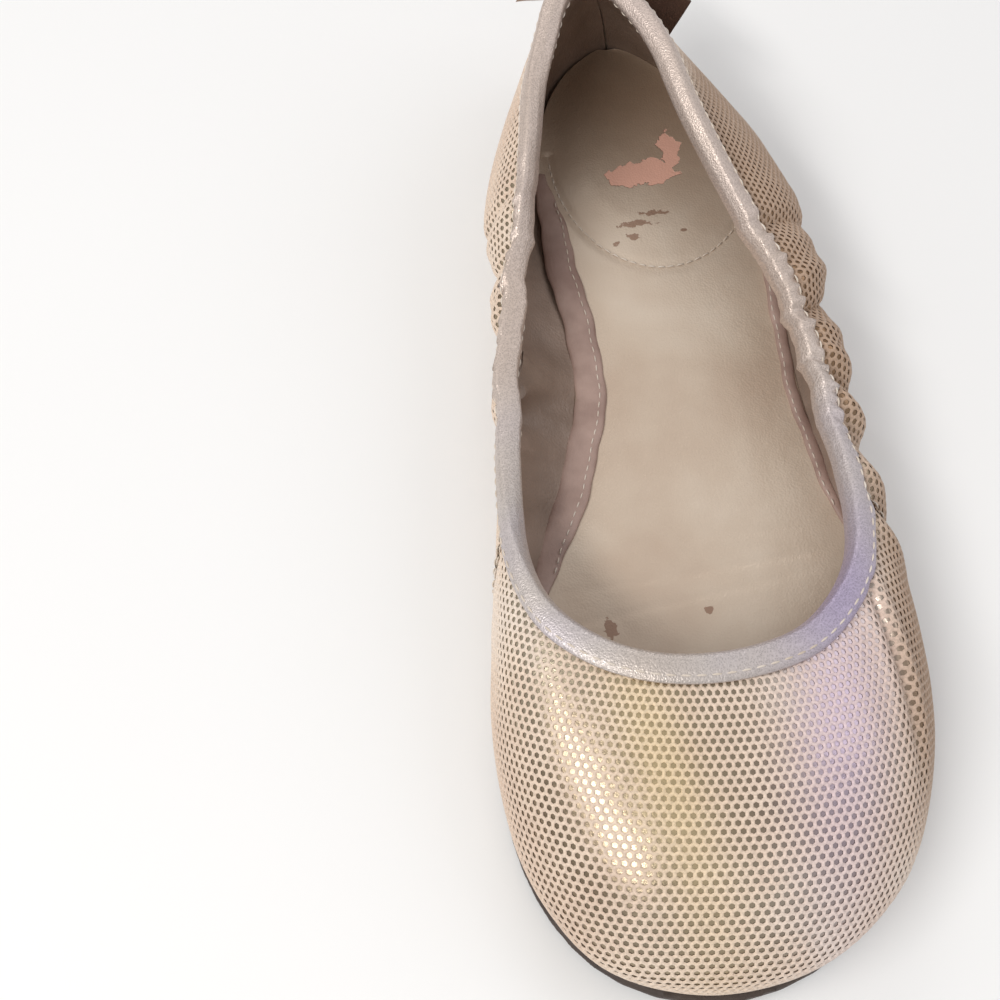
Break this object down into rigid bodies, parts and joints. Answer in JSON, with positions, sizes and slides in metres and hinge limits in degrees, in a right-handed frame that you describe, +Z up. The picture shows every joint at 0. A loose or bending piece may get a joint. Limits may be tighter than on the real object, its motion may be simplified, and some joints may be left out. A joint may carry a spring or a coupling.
{
  "type": "ballet slipper",
  "caption": "Low elasticated ballet slipper for the left foot, with a net-covered metallic upper, a bound gathered topline and a small bow at the heel.",
  "frame": {"origin": "on the floor, under the middle of the bounding box", "axes": "+X to the wearer's outer (lateral) side, +Y from the toe to the heel, +Z up"},
  "size_m": [0.0922, 0.2492, 0.0582],
  "materials": {
    "outsole_rubber": "matt moulded rubber with worn edges",
    "filler_cork": "felt",
    "board_fibre": "pressed fibre board",
    "foam_pink": "open latex foam",
    "sock_leather": "worn metallic film on leather",
    "upper_foil": "iridescent metallic foil",
    "net_cotton": "knitted net with hexagonal holes",
    "stiffener_fibre": "impregnated non-woven",
    "lining_leather": "smooth lining with a soft shine",
    "binding_leather": "silver metallic grain",
    "elastic_cord": "braided elastic",
    "bow_leather": "metallic face and dark brown back",
    "thread": "sewing thread"
  },
  "bodies": {
    "slipper": {"outsole": "outsole_rubber", "heel_lift": "outsole_rubber", "bottom_filler": "filler_cork", "insole_board": "board_fibre", "footbed_foam": "foam_pink", "heel_pad": "foam_pink", "sock_lining": "sock_leather", "vamp": "upper_foil", "quarter_lateral": "upper_foil", "quarter_medial": "upper_foil", "vamp_mesh": "net_cotton", "quarter_mesh_lateral": "net_cotton", "quarter_mesh_medial": "net_cotton", "vamp_lining": "lining_leather", "quarter_lining_lateral": "lining_leather", "quarter_lining_medial": "lining_leather", "toe_puff": "stiffener_fibre", "heel_counter": "stiffener_fibre", "back_stay": "binding_leather", "topline_binding": "binding_leather", "topline_elastic": "elastic_cord", "bow_thread": "thread"},
    "bow": {"bow_loops": "bow_leather", "bow_knot": "bow_leather"}
  },
  "joints": [
    {"name": "bow_swivel", "type": "hinge", "parent": "slipper", "child": "bow", "pos_m": [-0.00702, 0.12075, 0.036], "axis": [0, 1, 0], "range_deg": [-32, 8]}
  ]
}
